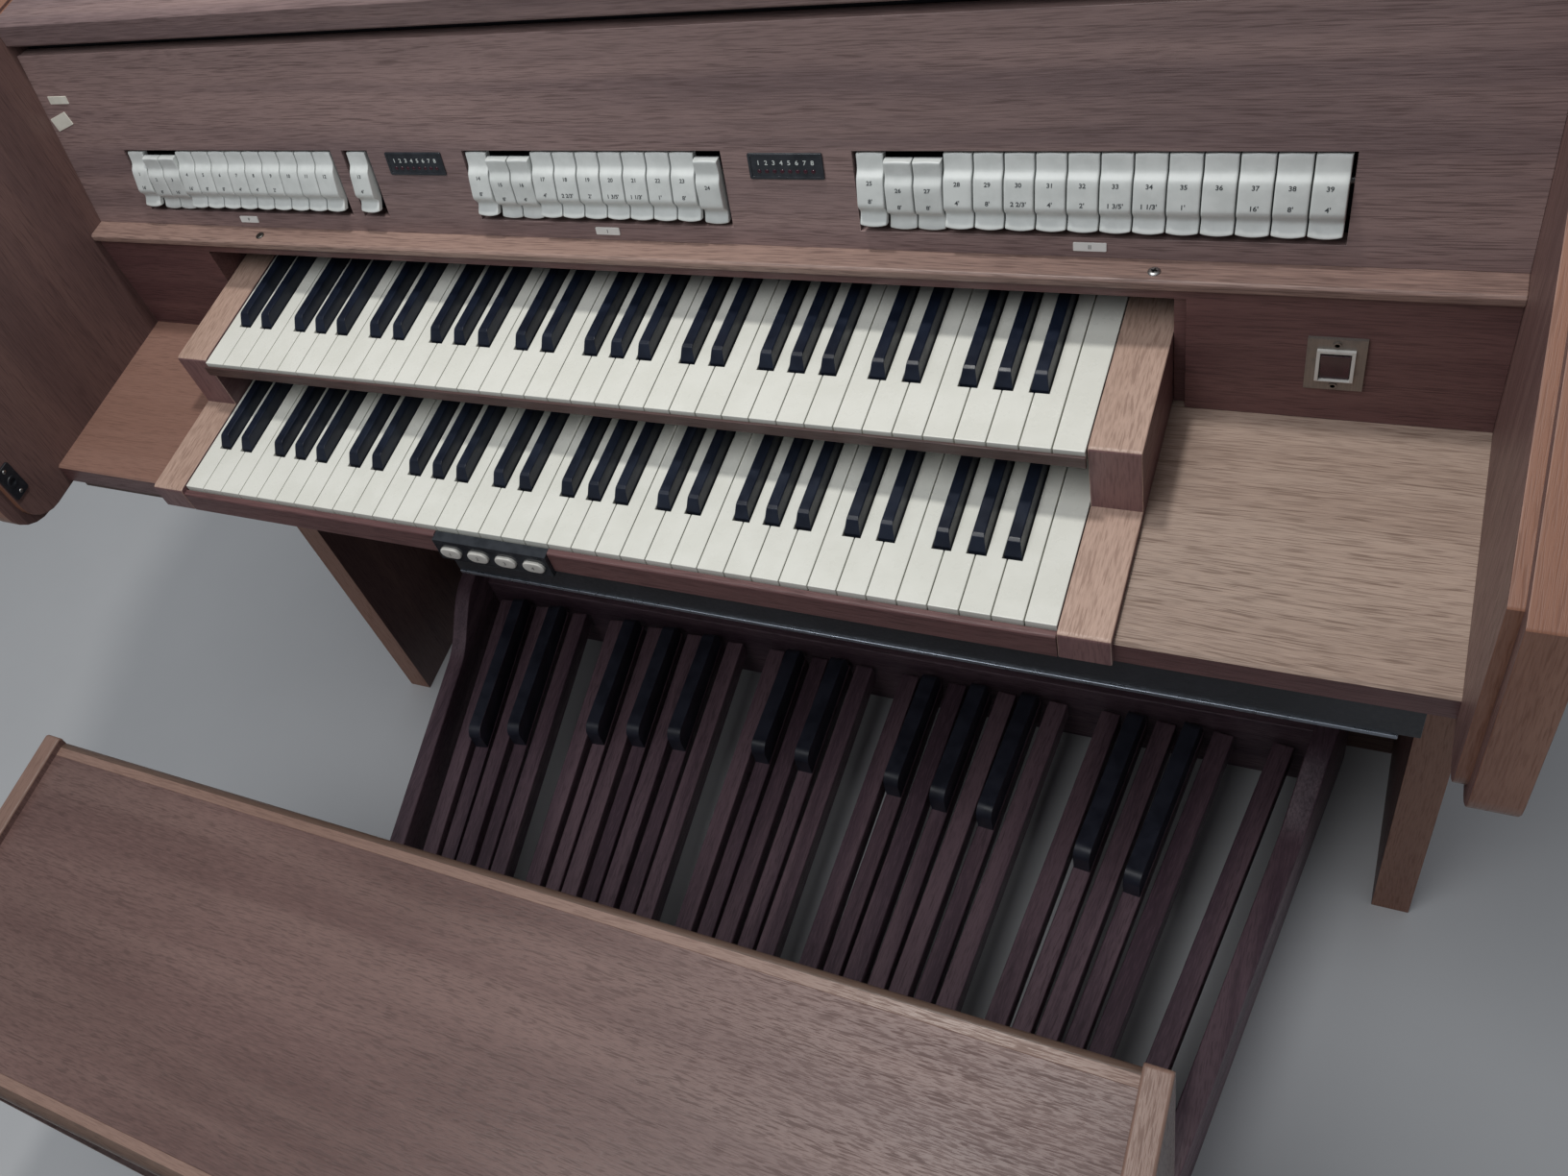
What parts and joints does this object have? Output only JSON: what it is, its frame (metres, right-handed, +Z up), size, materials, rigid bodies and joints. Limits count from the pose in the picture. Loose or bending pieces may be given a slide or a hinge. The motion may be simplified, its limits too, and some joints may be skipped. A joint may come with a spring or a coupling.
{
  "type": "organ console with pedalboard and bench",
  "caption": "Two-manual organ console in oak with stop tabs, roll-top style end panels, radiating pedalboard and bench.",
  "frame": {"origin": "middle of the footprint on the floor", "axes": "+Z up, +X to the player's right, +Y from the player into the console"},
  "size_m": [1.356, 1.144, 1.216],
  "materials": {
    "case_oak": "open-grained oak veneer, reddish mid brown, satin",
    "dark_oak": "dark stained oak, satin",
    "desk_oak": "light tan oak veneer, fine dark pores, satin",
    "cheek_oak": "solid oak, pinkish tan, satin",
    "bench_oak": "oak, worn satin lacquer",
    "pedal_oak": "dark reddish oak, worn",
    "natural_white": "ivory white key covering, satin",
    "sharp_black": "black key covering, satin",
    "tab_white": "white moulded plastic, satin",
    "black_felt": "black paint, matt",
    "display_black": "black glossy plastic",
    "label_white": "white plastic, matt",
    "steel": "dull steel",
    "switch_grey": "dark plate with a pale frame",
    "rocker_red": "dark red translucent plastic"
  },
  "bodies": {
    "console": {"left_end_panel": "case_oak", "right_end_panel": "case_oak", "back_panel": "dark_oak", "top_board": "case_oak", "top_front_rail": "case_oak", "roll_slot_lining": "black_felt", "nameboard": "case_oak", "nameboard_ledge": "case_oak", "desk_back_board": "case_oak", "left_desk": "desk_oak", "right_desk": "desk_oak", "key_bed": "dark_oak", "key_slip": "case_oak", "left_key_cheek": "cheek_oak", "right_key_cheek": "cheek_oak", "upper_key_rail": "dark_oak", "upper_key_frame": "dark_oak", "lower_naturals": "natural_white", "lower_sharps": "sharp_black", "upper_naturals": "natural_white", "upper_sharps": "sharp_black", "tab_wells": "black_felt", "left_tabs": "tab_white", "middle_tabs": "tab_white", "right_tabs": "tab_white", "left_display": "display_black", "right_display": "display_black", "division_labels": "label_white", "side_cards": "label_white", "ledge_screws": "steel", "switch_plate": "switch_grey", "piston_block": "display_black", "under_desk_fascia": "black_felt", "fascia_trim": "steel", "lock_plate": "black_felt", "kneeboard": "dark_oak", "base_rail": "dark_oak", "pedal_left_rail": "pedal_oak", "pedal_right_rail": "pedal_oak", "pedal_toe_rail": "pedal_oak", "pedal_heel_rail": "pedal_oak", "pedal_naturals": "pedal_oak", "pedal_sharp_bars": "pedal_oak", "pedal_sharp_caps": "sharp_black", "bench_seat": "bench_oak", "bench_left_end": "bench_oak", "bench_right_end": "bench_oak", "bench_stretcher": "bench_oak"},
    "lower_top_c_key_body": {"lower_top_c_key": "natural_white"},
    "upper_top_c_key_body": {"upper_top_c_key": "natural_white"},
    "single_tab_body": {"single_tab": "tab_white"},
    "power_rocker_body": {"power_rocker": "rocker_red"},
    "piston_1_body": {"piston_1": "tab_white"},
    "piston_2_body": {"piston_2": "tab_white"},
    "piston_3_body": {"piston_3": "tab_white"},
    "piston_4_body": {"piston_4": "tab_white"},
    "pedal_low_c_body": {"pedal_low_c": "pedal_oak"},
    "pedal_low_c_sharp_body": {"pedal_low_c_sharp": "pedal_oak"}
  },
  "joints": [
    {"name": "lower_top_c_press", "type": "hinge", "parent": "console", "child": "lower_top_c_key_body", "pos_m": [0.38525, 0.266, 0.836], "axis": [1, 0, 0], "range_deg": [0, 2.2], "stiffness_Nm_per_rad": 3, "springref_deg": -5.73},
    {"name": "upper_top_c_press", "type": "hinge", "parent": "console", "child": "upper_top_c_key_body", "pos_m": [0.38525, 0.3736, 0.9034], "axis": [1, 0, 0], "range_deg": [0, 2.2], "stiffness_Nm_per_rad": 3, "springref_deg": -5.73},
    {"name": "single_tab_tilt", "type": "hinge", "parent": "console", "child": "single_tab_body", "pos_m": [-0.262, 0.27084, 1.03203], "axis": [1, 0, 0], "range_deg": [0, 10]},
    {"name": "power_rocker_tilt", "type": "hinge", "parent": "console", "child": "power_rocker_body", "pos_m": [0.541, 0.2194, 0.9055], "axis": [1, 0, 0], "range_deg": [-14, 0]},
    {"name": "piston_1_press", "type": "slide", "parent": "console", "child": "piston_1_body", "axis": [0, 1, 0], "range_m": [0, 0.003], "stiffness_N_per_m": 400, "springref_m": -0.002},
    {"name": "piston_2_press", "type": "slide", "parent": "console", "child": "piston_2_body", "axis": [0, 1, 0], "range_m": [0, 0.003], "stiffness_N_per_m": 400, "springref_m": -0.002},
    {"name": "piston_3_press", "type": "slide", "parent": "console", "child": "piston_3_body", "axis": [0, 1, 0], "range_m": [0, 0.003], "stiffness_N_per_m": 400, "springref_m": -0.002},
    {"name": "piston_4_press", "type": "slide", "parent": "console", "child": "piston_4_body", "axis": [0, 1, 0], "range_m": [0, 0.003], "stiffness_N_per_m": 400, "springref_m": -0.002},
    {"name": "pedal_low_c_press", "type": "hinge", "parent": "console", "child": "pedal_low_c_body", "pos_m": [-0.43244, -0.1535, 0.082], "axis": [-0.9882, -0.1532, 0], "range_deg": [0, 1.5], "stiffness_Nm_per_rad": 100, "springref_deg": -4.58},
    {"name": "pedal_low_c_sharp_press", "type": "hinge", "parent": "console", "child": "pedal_low_c_sharp_body", "pos_m": [-0.40597, -0.1535, 0.082], "axis": [-0.9895, -0.1442, 0], "range_deg": [0, 1.5], "stiffness_Nm_per_rad": 100, "springref_deg": -4.58}
  ]
}
